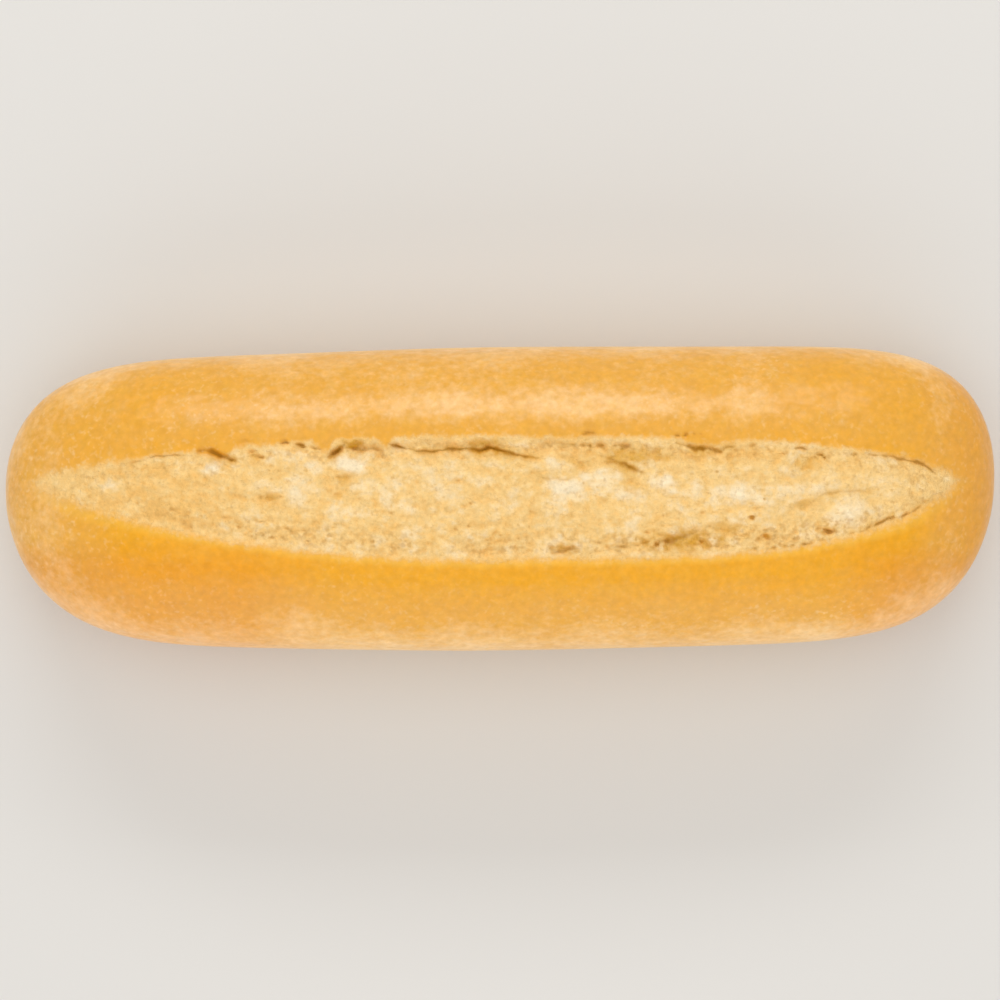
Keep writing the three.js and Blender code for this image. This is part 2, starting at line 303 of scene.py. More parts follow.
        dict(line=((80, 8.9), (83.8, 8.3), (86, 7.8), (88, 7), (91.4, 5)),
             depth=1.1, gap=0.46, wall=0.4),
        dict(line=((71, -7.6), (75, -6.9), (76.6, -5.9), (79, -4.9), (81, -4), (83.2, -3.8),
                   (85.3, -2.8), (88, -1.3), (90, 0.3), (92, 2.2)),
             depth=0.85, gap=0.42, wall=0.5, broken=0.75),
        dict(line=((62.5, -2.6), (65.2, -0.2), (67.4, 1), (71, 1.4), (74.5, 1.6), (78.5, 1)),
             depth=0.45, gap=0.4, wall=0.8),
        dict(line=((65, 8.2), (66, 9), (66.8, 8.9), (67.8, 7.6)), depth=1.1, gap=0.4, wall=0.5),
        dict(line=((10.8, -11.2), (13.5, -10.9), (14.9, -10), (16.6, -10.2), (18.6, -9.4)),
             depth=0.75, gap=0.5, wall=0.8),
        dict(line=((22.4, -10), (24.4, -10.2), (25.9, -9.8), (29.4, -9.6)),
             depth=0.6, gap=0.4, wall=0.7),
        dict(line=((29.6, -9.9), (31.1, -10.5), (32.3, -9.4), (34.2, -8.8), (36.2, -8.4),
                   (39.3, -7.6), (42, -5.8)),
             depth=0.85, gap=0.7, wall=1.2),
        dict(line=((-81, 7), (-76.6, 7.4), (-72.6, 8)), depth=0.5, gap=0.36, wall=0.4, broken=0.45),
        dict(line=((-73, 8.5), (-69, 8.9), (-65.2, 8.8)), depth=0.9, gap=0.4, wall=0.4),
        dict(line=((-52, 8.8), (-50.4, 8.7), (-48.8, 8.2)), depth=0.6, gap=0.4, wall=0.5),
        dict(line=((-54.4, 11.7), (-52.8, 12), (-51, 11.7)), depth=0.5, gap=0.45, wall=0.5),
        dict(line=((8.4, 11.4), (20.4, 10.9), (33, 11)), depth=0.8, gap=0.45, wall=0.6, broken=0.45),
        dict(line=((16.6, 13), (18.2, 13.4), (20, 13.2)), depth=1, gap=0.5, wall=0.6),
        dict(line=((35, 13), (38.2, 13), (42.4, 13.3)), depth=0.95, gap=0.5, wall=0.5, broken=0.45),
        dict(line=((50.5, 11.2), (53.6, 10.9), (56.4, 10.6)),
             depth=0.85, gap=0.4, wall=0.5, broken=0.45),
        dict(line=((60.8, 10.2), (62.2, 10.4), (63.6, 10.2)), depth=1.1, gap=0.45, wall=0.5),
        dict(line=((50, -10.4), (58, -10.2), (64, -9.4), (70, -8)),
             depth=0.72, gap=0.45, wall=0.5, broken=0.45),
        dict(line=((49, -8.6), (52, -8.1), (55, -8)), depth=0.8, gap=0.4, wall=0.5, broken=0.45),
        dict(line=((66, -6), (68, -6.6), (70, -7)), depth=0.8, gap=0.4, wall=0.5, broken=0.45),
        dict(line=((-63, 9.5), (-61.2, 10), (-59.2, 9.3), (-57, 8.6)), depth=1.5, gap=0.7, wall=0.7),
        dict(line=((-45.4, 11.4), (-44.4, 11.6), (-43.4, 11.2)), depth=1, gap=0.42, wall=0.4),
        dict(line=((-42.6, 11.1), (-41.4, 11.3), (-40, 10.8)), depth=1.2, gap=0.46, wall=0.4),
        dict(line=((-38.8, 10.4), (-37.8, 10.4), (-36.8, 10)), depth=1, gap=0.4, wall=0.4),
    ),
    crackForm=dict(
        shoulder=1.4,            # breadth of a crack's round side, towards -Y
        reach=3,                 # breadths from its line at which it ends
        jag=0.3,                 # how far its line wanders
        jagGrain=dict(size=2.1, seed=1),
        fineJag=0.6,             # share of its finer wandering
        fineJagGrain=dict(size=0.9, seed=2),
        whole=0.85,              # how much of an unbroken one is open
        wholeSwing=0.9,
        wholeGrain=dict(size=2.6, seed=3),
        brokenSwing=1.8,
        brokenGrain=dict(size=1.3, seed=3),
        leastGap=0.1,            # share of its breadth that the gap keeps at the ends
        gapSwing=0.6,
        gapGrain=dict(size=1.1, seed=10),
        tuck=0.15,               # how far it runs in below its steep side
        darkDepth=1.45,          # depth from which its painted shade is full
        rim=0.9,                 # shade beside the gap
        rimBreadth=2.2,          # in half breadths of the gap
    ),
    # how deeply the crust is baked, 0 pale to 1 amber, with a painted highlight band and painted light
    # and shade at the noses; pairs are -Y side, +Y side unless they are spans
    baking=dict(
        plain=0.36,
        sideSpan=(-7, 7),        # y about the slash's axis over which one side passes into the other
        lip=(0.68, 0.22),        # extra along the slash
        lipBreadth=(10, 3),
        leftTipSpan=(8, 34),     # distance from the slash's tip over which the lips take colour
        rightTipSpan=(0, 18),
        shoulder=0.08,           # +Y crown, away from the slash
        shoulderSpan=(6.5, 12),
        paleHighlightBand=0.06,           # painted highlight: a paler stripe between lip and shoulder, +Y side, where the crust's sheen lies
        paleHighlightBandAt=6,
        paleHighlightBandBreadth=3,
        paleHighlightBandStart=(-65, -35),
        paleHighlightBandLoss=0.9,
        paleHighlightBandEnd=(18, 45),
        far=(0.34, 0.2),         # extra on the crown towards both ends
        farSpan=(40, 80),
        farLevel=(24, 38),
        cap=0.24,                # extra on the noses
        capSpan=(84, 100),
        capSides=(14, 32),
        capLevel=(10, 28),
        capShare=0.9,            # how much of the baking the noses keep
        # painted shade: extra browning that darkens the right nose
        rightNoseShade=0.12,
        rightNoseShadeSpan=(88, 102),
        leftNoseLight=0.2,            # painted light: the left nose is paler
        leftNoseLightSpan=(-90, -104),
        base=(0.05, 0.1),        # share of the baking that the lowest flank keeps
        girth=0.45,              # what it gains round the girth
        girthLevel=(15, 24),
        flank=(0.5, 0.53),       # what it gains up the crown
        flankLow=(26, 18),
        flankHigh=(41, 38),
        unevenness=0.06,
        unevenSize=14,
    ),
    # rings along the loaf and lanes around it
    weave=dict(
        rings=500,
        noseStart=0.8,           # share of half the rings that are even
        flank=14,
        lip=12,
        crumb=122,
        belly=8,
        base=6,
        baseAngle=1.08,          # radians from the girth down to the base
        lipReach=8.5,            # breadth of the lip's lanes
        narrowestBand=3,         # least half breadth of the crumb's lanes
        bandAtNose=0.4,          # their share of half the width at a nose
        bandCloses=(0.86, 0.95),
    ),
)
loaf = subRoll["loaf"]
slash = subRoll["slash"]
crumb = subRoll["crumb"]
crackForm = subRoll["crackForm"]
baking = subRoll["baking"]
weave = subRoll["weave"]
seedStep = 7.3                   # keeps the noises of different seeds apart


def endValue(t, pair):
    return pair[0] if t < 0 else pair[1]


def nose(t, fullness):
    return math.sqrt(max(0.0, 1 - abs(t) ** fullness))


def arch(share, squareness):
    return (1 - min(1.0, abs(share)) ** squareness) ** (1 / squareness)


def outline(t):
    narrowing = 1 - endValue(t, loaf["taper"]) * smoothStep(abs(t), 0, loaf["taperReach"])
    return loaf["width"] / 2 * narrowing * nose(t, endValue(t, loaf["outlineFullness"]))


def middleLine(t):
    return loaf["skew"] * t + endValue(t, loaf["endBend"]) * abs(t) ** loaf["endBendPower"]


# noise from -1 to 1 whose cells are about size millimetres
def grain(x, y, size, seed, stretch=1):
    return noise.noise(Vector((x / size / stretch, y / size, seed * seedStep)))


# a wave along one way, bent by a wave along the other
def wave(along, across, length, bend, bendLength, form=math.sin):
    return form(along / length + bend * math.sin(across / bendLength))


def tongueReach(x):
    reach = 0
    for tongue in subRoll["tongues"]:
        past = x - tongue["tip"]
        left = 1 - (-past / tongue["run"] if past < 0 else past / tongue["snap"])
        reach = max(reach, tongue["reach"] * smoothStep(left, 0, 1))
    return reach


# slash edges at x, +Y and -Y, and how far open it is
def slashAt(x):
    share = 2 * (x - slash["middle"]) / slash["length"]
    left = 1 - min(1.0, abs(share)) ** endValue(share, slash["tipPower"])
    fromTip = max(0.0, 1 - abs(share)) * slash["length"] / 2
    point = fromTip / (fromTip + endValue(share, slash["tipPoint"]))
    upPower, downPower = [endValue(share, slash[name]) for name in ("spreadUpPower", "spreadDownPower")]
    upper = slash["axis"] + slash["spreadUp"] * point * left ** upPower
    lower = slash["axis"] - slash["spreadDown"] * point * left ** downPower
    return upper, lower, smoothStep(1 - abs(share), 0, endValue(share, slash["fade"]))


def lumps(x, y):
    small = wave(x, y, *crumb["smallAlong"]) * wave(y, x, *crumb["smallAcross"])
    along, across = crumb["largeWaves"]
    bend, bendLength = crumb["largeBend"]
    large = math.sin(x / along + y / across + bend * math.sin(x / bendLength))
    return crumb["smallLumps"] * small + crumb["largeLumps"] * large


def heightOnLine(line, x):
    for (x0, y0), (x1, y1) in zip(line, line[1:]):
        if x <= x1:
            return blend(y0, y1, (x - x0) / (x1 - x0))


# depth of the cracks at a point, how far they tuck it in, how dark the painted shade in the gap is
# there,
# and the painted shade on its steep side
def crackAt(x, y):
    depth = tuck = gap = shade = 0
    for index, crack in enumerate(subRoll["cracks"]):
        line = crack["line"]
        along = (x - line[0][0]) / (line[-1][0] - line[0][0])
        if along <= 0 or along >= 1:
            continue
        jag = grain(x, index, **crackForm["jagGrain"])
        jag += crackForm["fineJag"] * grain(x, index, **crackForm["fineJagGrain"])
        away = y - heightOnLine(line, x) - crackForm["jag"] * jag
        breadth = crack["wall"] if away > 0 else crackForm["shoulder"]
        if abs(away) > crackForm["reach"] * breadth:
            continue
        kind = "broken" if "broken" in crack else "whole"
        swing = crackForm[kind + "Swing"] * grain(x, index, **crackForm[kind + "Grain"])
        strength = max(0.0, min(1.0, crack.get("broken", crackForm["whole"]) + swing))
        ends = math.sqrt(math.sin(math.pi * along)) * strength
        uneven = 1 + crackForm["gapSwing"] * grain(x, index, **crackForm["gapGrain"])
        half = crack["gap"] * max(ends, crackForm["leastGap"]) * uneven
        dark = ends * min(1.0, crack["depth"] / crackForm["darkDepth"])
        core = bell(away, half)
        side = bell(away, breadth)
        here = crack["depth"] * ends * (core + side) / 2
        if here > depth:
            depth = here
            tuck = crackForm["tuck"] * dark * (core + side) / 2
        gap = max(gap, dark * core)
        shade = max(shade, crackForm["rim"] * dark * bell(away / half, crackForm["rimBreadth"]))
        if away > 0:
            shade = max(shade, dark * side)
    return depth, tuck, gap, shade


# the largest of the bulges' rises, or of the hollows' depths, at a point
def spotAt(spots, measure, rim, x, y):
    most = 0
    for spot in spots:
        (middleX, middleY), (halfX, halfY) = spot["at"], spot["size"]
        far = math.hypot((x - middleX) / halfX, (y - middleY) / halfY)
        if far < subRoll["spotReach"]:
            far += rim["swing"] * grain(x, y, **rim["grain"])
            most = max(most, spot[measure] * (1 - smoothStep(far, *rim["fade"])))
    return most


def tearDepth(x, y, upper):
    tear = subRoll["tear"]
    ends = smoothStep(x - tear["start"], 0, tear["fade"]) * smoothStep(tear["end"] - x, 0, tear["fade"])
    return tear["depth"] * ends * bell(y - upper + tear["inset"], tear["breadth"])


# scattered pits of one kind: 0 outside, up to its strength at the middle of a pit
def pitAt(kind, x, y, torn, swing=0):
    pits = subRoll["pits"]
    spacing, height = kind["spacing"], kind["seed"] * pits["seedStep"]
    distances, points = noise.voronoi(Vector((x / spacing / pits["stretch"], y / spacing, height)))
    draw = noise.cell(points[0] * pits["drawStep"])
    if draw > 2 * (kind["share"] + kind["tornShare"] * torn) - 1:
        return 0
    radius = pits["radius"] + pits["radiusSwing"] * draw
    strength = kind["strength"] + swing + kind["tornStrength"] * torn
    return (1 - smoothStep(distances[0], pits["floor"] * radius, radius)) * strength


# the crumb's own relief at a point and how pitted it is; torn runs from 0, smooth, to 1, torn
def crumbGrain(x, y, torn):
    relief = crumb["pillow"] * abs(grain(x, y, **crumb["pillowGrain"]))
    relief += crumb["knob"] * abs(grain(x, y, **crumb["knobGrain"]))
    relief += crumb["grit"] * grain(x, y, **crumb["gritGrain"])
    relief -= crumb["sink"]
    large, small, pits = subRoll["largePits"], subRoll["smallPits"], subRoll["pits"]
    largePit = pitAt(large, x, y, torn, pits["swing"] * grain(x, y, **pits["grain"]))
    smallPit = pitAt(small, x, y, torn)
    relief *= 1 + crumb["tornRelief"] * torn
    relief -= large["depth"] * largePit
    relief -= small["depth"] * smallPit
    return relief, max(large["mark"] * largePit, small["mark"] * smallPit)


def toastAndShadeAt(x, fromHigh):
    toastAndShade = subRoll["toastAndShade"]
    left = toastAndShade["left"] * smoothStep(x, *toastAndShade["leftSpan"])
    left *= 1 - toastAndShade["tip"] * smoothStep(x, *toastAndShade["tipSpan"])
    band = toastAndShade["band"] * smoothStep(fromHigh, *toastAndShade["bandStart"])
    band *= smoothStep(fromHigh, *toastAndShade["bandEnd"])
    return left + band * smoothStep(x, *toastAndShade["bandSpan"])


def tornAt(x, y, fromLow, fromHigh):
    torn = subRoll["torn"]
    nearLow = smoothStep(fromLow, *torn["lowSpan"])
    patches = nearLow * smoothStep(grain(x, y, **torn["patchGrain"]), *torn["patchSpan"])
    edges = torn["edges"] * max(patches, smoothStep(fromHigh, *torn["highSpan"]))
    tip = torn["tip"] * smoothStep(x, *torn["tipSpan"])
    right = torn["right"] * nearLow * smoothStep(x, *torn["rightStart"])
    right *= smoothStep(x, *torn["rightEnd"])
    return max(edges, tip, right)


# how far in the crumb a point is: -1 on plain crust, 0 where the crumb's colour starts,
# 1 where the crust's has gone, 2 at most
def crumbMark(x, fromLow, fromHigh, reach):
    past = abs(x - slash["middle"]) - slash["length"] / 2 + endValue(x, slash["trim"])
    past = slash["closing"] * max(0.0, past)
    tips = [smoothStep(x, *span) for span in slash["blurSpan"]]
    spread = 1 + sum((times - 1) * tip for times, tip in zip(slash["blurAtTip"], tips))
    lowEdge = (fromLow - past + slash["spill"][0] * spread) / (slash["blur"][0] * spread)
    highBlur = slash["blur"][1] * spread + slash["tongueBlur"] * reach
    highEdge = (fromHigh - past + slash["spill"][1] * spread) / highBlur
    return max(-1, min(lowEdge, highEdge, 2))


# the marks that a point carries for the material; the bake, with its painted light and shade, is worked
# out on its own
markNames = ("crumb", "gap", "shade", "pit", "raised", "torn", "bakeAndLight")
plainCrust = (-1, 0, 0, 0, 0, 0)


# height that the slash adds at a point of the crown, its tuck, and the point's marks
def slashRelief(x, y):
    upper, lower, isOpen = slashAt(x)
    wander = grain(x, 0, **slash["raggedGrain"])
    wander = slash["ragged"] * (wander + slash["fineRagged"] * grain(x, 0, **slash["fineRaggedGrain"]))
    lip = slash["lipRise"] * bell(max(y - upper, lower - y) - slash["lipCrest"], slash["lipBreadth"])
    reach = tongueReach(x)
    fromHigh = upper - reach + wander - y
    fromLow = y - lower + slash["raggedLow"] * wander
    lowStep, highStep = slash["softEdge"]
    inside = smoothStep(fromLow, 0, lowStep) * smoothStep(fromHigh, 0, highStep)
    inCrumb = crumbMark(x, fromLow, fromHigh, reach)
    depth, tuck, gap, shade = crackAt(x, y)
    if inside == 0:
        return isOpen * (lip - depth), isOpen * tuck, (inCrumb, isOpen * gap, isOpen * shade, 0, 0, 0)
    breadth = max(upper - lower, slash["leastBreadth"])
    bed = crumb["bulge"] * math.sin(math.pi * (y - lower) / breadth) - crumb["drop"]
    rise = spotAt(subRoll["bulges"], "rise", subRoll["bulgeEdge"], x, y)
    hollow = spotAt(subRoll["hollows"], "depth", subRoll["hollowEdge"], x, y)
    torn = tornAt(x, y, fromLow, fromHigh)
    fine, pit = crumbGrain(x, y, torn)
    fine *= 1 - crumb["calm"] * smoothStep(x, *crumb["calmSpan"])
    relief = bed + rise + crumb["lumps"] * lumps(x, y) - tearDepth(x, y, upper) + fine - hollow
    fineWhite, bulgeWhite = crumb["flouryHighlight"]
    raised = fineWhite * fine + bulgeWhite * rise - toastAndShadeAt(x, fromHigh)
    shade = max(shade, min(1.0, crumb["hollowShade"] * hollow))
    seen = isOpen * inside
    marks = (inCrumb, isOpen * gap, isOpen * shade, seen * pit, seen * raised, seen * torn)
    return isOpen * (blend(lip, relief, inside) - depth), isOpen * tuck, marks


def crustDimples(place):
    return sum(height * noise.noise(place / size) for height, size in loaf["dimples"])


# a point above the girth, with its marks
def crownPoint(x, t, y):
    full = nose(t, endValue(t, loaf["crownFullness"]))
    rise = full * (loaf["crownHeight"] - loaf["girthHeight"] + loaf["crownArch"] * (1 - t * t))
    z = loaf["girthHeight"] + rise * arch((y - middleLine(t)) / outline(t), loaf["crownSquareness"])
    relief, tuck, marks = slashRelief(x, y)
    swell = wave(x, y, *loaf["swellAlong"]) * wave(y, x, *loaf["swellAcross"], math.cos)
    onCrust = 1 - smoothStep(marks[0], 0, 1)
    z += full * (relief + loaf["swell"] * swell + onCrust * crustDimples(Vector((x, y, z))))
    return Vector((x, y + tuck, z)), marks


def sidePoint(x, t, angle):
    across, up = math.cos(angle), math.sin(angle)
    power = 2 / loaf["crownSquareness" if up >= 0 else "bellySquareness"]
    y = middleLine(t) + math.copysign(outline(t) * abs(across) ** power, across)
    if up >= 0:
        return crownPoint(x, t, y)
    drop = loaf["bellyDepth"] * nose(t, loaf["bellyFullness"]) * abs(up) ** power
    return Vector((x, y, max(0, loaf["girthHeight"] - drop))), plainCrust


def angleAt(share):
    return math.acos(math.copysign(abs(share) ** (loaf["crownSquareness"] / 2), share))


# where a lane lies on the section at t: +Y flank, crown, -Y flank, underside
def lanePoint(t, lane):
    x = t * loaf["length"] / 2
    half, middle = outline(t), middleLine(t)
    if half == 0:
        return Vector((x, middle, loaf["girthHeight"])), plainCrust
    upper, lower, _ = slashAt(x)
    upper = max(upper, slash["axis"] + weave["narrowestBand"])
    lower = min(lower, slash["axis"] - weave["narrowestBand"])
    shares = [max(-1.0, min(1.0, (y - middle) / half)) for y in (upper, lower)]
    closed = smoothStep(abs(t), *weave["bandCloses"])
    bandUp = blend(shares[0], weave["bandAtNose"], closed)
    bandDown = blend(shares[1], -weave["bandAtNose"], closed)
    reach = weave["lipReach"] / (loaf["width"] / 2)
    lipUp, lipDown = blend(bandUp, 1, reach), blend(bandDown, -1, reach)
    belly = weave["baseAngle"]
    stops = (
        (weave["flank"], True, 0, angleAt(lipUp)),
        (weave["lip"], False, lipUp, bandUp),
        (weave["crumb"], False, bandUp, bandDown),
        (weave["lip"], False, bandDown, lipDown),
        (weave["flank"], True, angleAt(lipDown), math.pi),
        (weave["belly"], True, math.pi, math.pi + belly),
        (weave["base"], True, math.pi + belly, 2 * math.pi - belly),
        (weave["belly"], True, 2 * math.pi - belly, 2 * math.pi),
    )
    for count, byAngle, first, last in stops:
        if lane <= count:
            place = blend(first, last, lane / count)
            return sidePoint(x, t, place) if byAngle else crownPoint(x, t, middle + half * place)
        lane -= count


# even rings that close up round each nose
def ringPlace(share):
    even = 2 * share - 1
    far, start = abs(even), weave["noseStart"]
    t = 2 * far / (1 + start) if far < start else 1 - (1 - far) ** 2 / (1 - start ** 2)
    return math.copysign(t, even)


# how deeply baked the crust is at a point, 0 pale to 1 amber, with painted highlight in a paler band on
# the +Y side, painted light on the left nose and painted shade on the right nose
def bakeAndLightAt(point):
    x, y, z = point
    upper, lower, _ = slashAt(x)
    fromSlash = max(y - upper, lower - y, 0)
    fromTip = slash["length"] / 2 - abs(x - slash["middle"])
    side = smoothStep(y - slash["axis"], *baking["sideSpan"])
    lips = zip(baking["lip"], baking["lipBreadth"])
    lowLip, highLip = [most * bell(fromSlash, breadth) for most, breadth in lips]
    # painted highlight: a paler stripe on the +Y shoulder
    paleHighlightBand = baking["paleHighlightBand"] * bell(fromSlash - baking["paleHighlightBandAt"], baking["paleHighlightBandBreadth"])
    paleHighlightBand *= smoothStep(x, *baking["paleHighlightBandStart"])
    paleHighlightBand *= 1 - baking["paleHighlightBandLoss"] * smoothStep(x, *baking["paleHighlightBandEnd"])
    highLip += baking["shoulder"] * smoothStep(fromSlash, *baking["shoulderSpan"]) - paleHighlightBand
    far = blend(*baking["far"], side) * smoothStep(abs(x), *baking["farSpan"])
    far *= smoothStep(z, *baking["farLevel"])
    cap = smoothStep(abs(x), *baking["capSpan"])
    cap *= 1 - smoothStep(abs(y - slash["axis"]), *baking["capSides"])
    cap *= smoothStep(z, *baking["capLevel"])
    tip = smoothStep(fromTip, *baking["leftTipSpan" if x < 0 else "rightTipSpan"])
    bakeAndLight = baking["plain"] + blend(lowLip, highLip, side) * tip + max(far, baking["cap"] * cap)
    # painted shade on the right nose and painted light on the left nose
    bakeAndLight += baking["rightNoseShade"] * smoothStep(x, *baking["rightNoseShadeSpan"])
    bakeAndLight -= baking["leftNoseLight"] * smoothStep(x, *baking["leftNoseLightSpan"])
    flank = smoothStep(z, blend(*baking["flankLow"], side), blend(*baking["flankHigh"], side))
    kept = blend(*baking["base"], side) + baking["girth"] * smoothStep(z, *baking["girthLevel"])
    bakeAndLight *= blend(kept + blend(*baking["flank"], side) * flank, baking["capShare"], cap)
    return bakeAndLight + baking["unevenness"] * noise.noise(Vector(point) / baking["unevenSize"])


def makeRoll():
    lanes = 2 * (weave["flank"] + weave["lip"] + weave["belly"]) + weave["crumb"] + weave["base"]
    bm = bmesh.new()
    bmesh.ops.create_uvsphere(bm, u_segments=lanes, v_segments=weave["rings"], radius=1)
    layers = [bm.verts.layers.float.new(name) for name in markNames]
    for vert in bm.verts:
        ring = math.acos(max(-1, min(1, vert.co.z))) / math.pi
        turn = math.atan2(vert.co.y, vert.co.x) / (2 * math.pi) % 1
        place, marks = lanePoint(ringPlace(ring), round(turn * lanes) % lanes)
        vert.co = place
        for layer, mark in zip(layers, (*marks, bakeAndLightAt(place))):
            vert[layer] = mark
    # seat the loaf in the box that its solid fills
    low = Vector([min(v.co[i] for v in bm.verts) for i in range(3)])
    high = Vector([max(v.co[i] for v in bm.verts) for i in range(3)])
    for vert in bm.verts:
        for i in range(3):
            share = (vert.co[i] - low[i]) / (high[i] - low[i])
            vert.co[i] = blend(rollLow[i], rollHigh[i], share)
    bmesh.ops.recalc_face_normals(bm, faces=bm.faces)
    for face in bm.faces:
        face.smooth = True
    mesh = bpy.data.meshes.new("breadRoll")
    bm.to_mesh(mesh)
    bm.free()
    piece = bpy.data.objects.new("breadRoll", mesh)
    bpy.context.scene.collection.objects.link(piece)
    return piece


# colours and patterns of the bread
bread = dict(
    tints=dict(
        pale="#f8cc8d",          # flanks, hardly browned
        gold="#e4a43c",
        amber="#e9a10a",         # lips
        straw="#e5a937",         # yellower blotches
        speck="#f6d49a",
        fringe="#f3bd48",        # yellower edge of the crust along the slash
        blush="#fdf2ef",         # reddens the ends of the -Y lip and the right nose
        crumb="#f6cd86",
        # pale flour, also painted highlight where the crumb stands out
        flourAndHighlight="#fce8c2",
        # toasted crumb, also painted shade where the crumb lies low
        toastAndShade="#eeb458",
        # painted shade in the crumb's pits and pores, and in the deepest hollows
        poreShade="#b97d26",
        # painted shade in hollows and on the cracks' steep sides
        hollow="#d99d14",
        # painted shade in the cracks' gaps
        crackShade="#b57a0b",
    ),
    # patterns: cell size in mm, detail, roughness, span of the noise that counts, what it gives
    patterns=dict(
        mottle=(12, 4, 0.6, (0.3, 0.7), (-0.12, 0.12)),
        fineMottle=(1.8, 3, 0.6, (0.3, 0.7), (-0.1, 0.1)),
        straw=(3.5, 4, 0.7, (0.45, 0.65), (0, 0.35)),
        specks=(1.1, 1, 0.5, (0.56, 0.78), (0, 0.36)),   # flour, drawn as coarse as it needs to show
        speckPatch=(16, 2, 0.5, (0.35, 0.65), (0.2, 1)),
        crustTone=(1.6, 2.5, 0.55, (0.3, 0.7), (0.935, 1.06)),
        crumbPatch=(5, 2, 0.5, (0.3, 0.7), (-0.3, 0.3)),
        crumbFleck=(1.2, 3, 0.6, (0.3, 0.7), (-0.22, 0.22)),
        # painted shade in the crumb's pores
        shadedPores=(1.3, 2, 0.6, (0.42, 0.28), (0, 0.24)),
        grit=(1.3, 1, 0.5, (0.5, 0.32), (0, 0.52)),      # painted shade of tiny pits where it is torn
        crumbTone=(1.4, 3, 0.7, (0.3, 0.7), (0.91, 1.08)),
        teeth=(1.1, 3, 0.6, (0.3, 0.7), (-0.2, 0.2)),    # of the torn edge
        fineGrain=(0.4, 2, 0.6, (0, 1), (0, 0.3)),       # heights in millimetres from here on
        coarseGrain=(1.1, 2, 0.6, (0, 1), (0, 0.5)),
        wrinkle=(3.8, 1.5, 0.4, (0, 1), (0, 0.46)),      # dimples that break up the crust's gloss
    ),
    # shares: what each is read from, span of it that counts, what it gives
    shares=dict(
        gold=("browning", (0.05, 0.5), (0, 1)),
        amber=("browning", (0.5, 1), (0, 1)),
        specksOnBrown=("browning", (0.6, 1), (1, 0.3)),
        specksAtEnds=("fromMiddle", (50 * mm, 90 * mm), (0.85, 1.2)),
        fringe=("fromEdge", (0.5, 0), (0, 0.45)),
        fringeSide=("across", (6 * mm, -4 * mm), (0, 1)),
        blushLeft=("along", (-35 * mm, -55 * mm), (0, 1)),
        blushRight=("along", (68 * mm, 82 * mm), (0, 1)),
        blushSide=("across", (-8 * mm, -14 * mm), (0, 1)),
        blushNose=("along", (86 * mm, 100 * mm), (0, 0.6)),
        # toasting and painted shade where the crumb lies low
        toastAndShade=("standing", (0, -0.7), (0, 0.6)),
        # flour and painted highlight where the crumb stands out
        flourAndHighlight=("standing", (0, 1.2), (0, 0.9)),
        # painted shade in the pits
        pit=("pit", (0.1, 1), (0, 0.5)),
        # painted shade of the hollows and the cracks' sides
        hollow=("shade", (0, 1), (0, 0.95)),
        # deeper painted shade where the shade mark is strongest
        deepHollowShade=("shade", (0.75, 1), (0, 0.6)),
        # painted shade in the cracks' gaps
        crackShade=("raggedGap", (0.1, 0.9), (0, 0.9)),
    ),
    fringeAt=0.15,               # crumb mark at the middle of the fringe
    roughness=(0.33, 0.85),      # satin crust, matt crumb
    gloss=0.36,                  # specular level, below the usual 0.5 for a dry crust
)
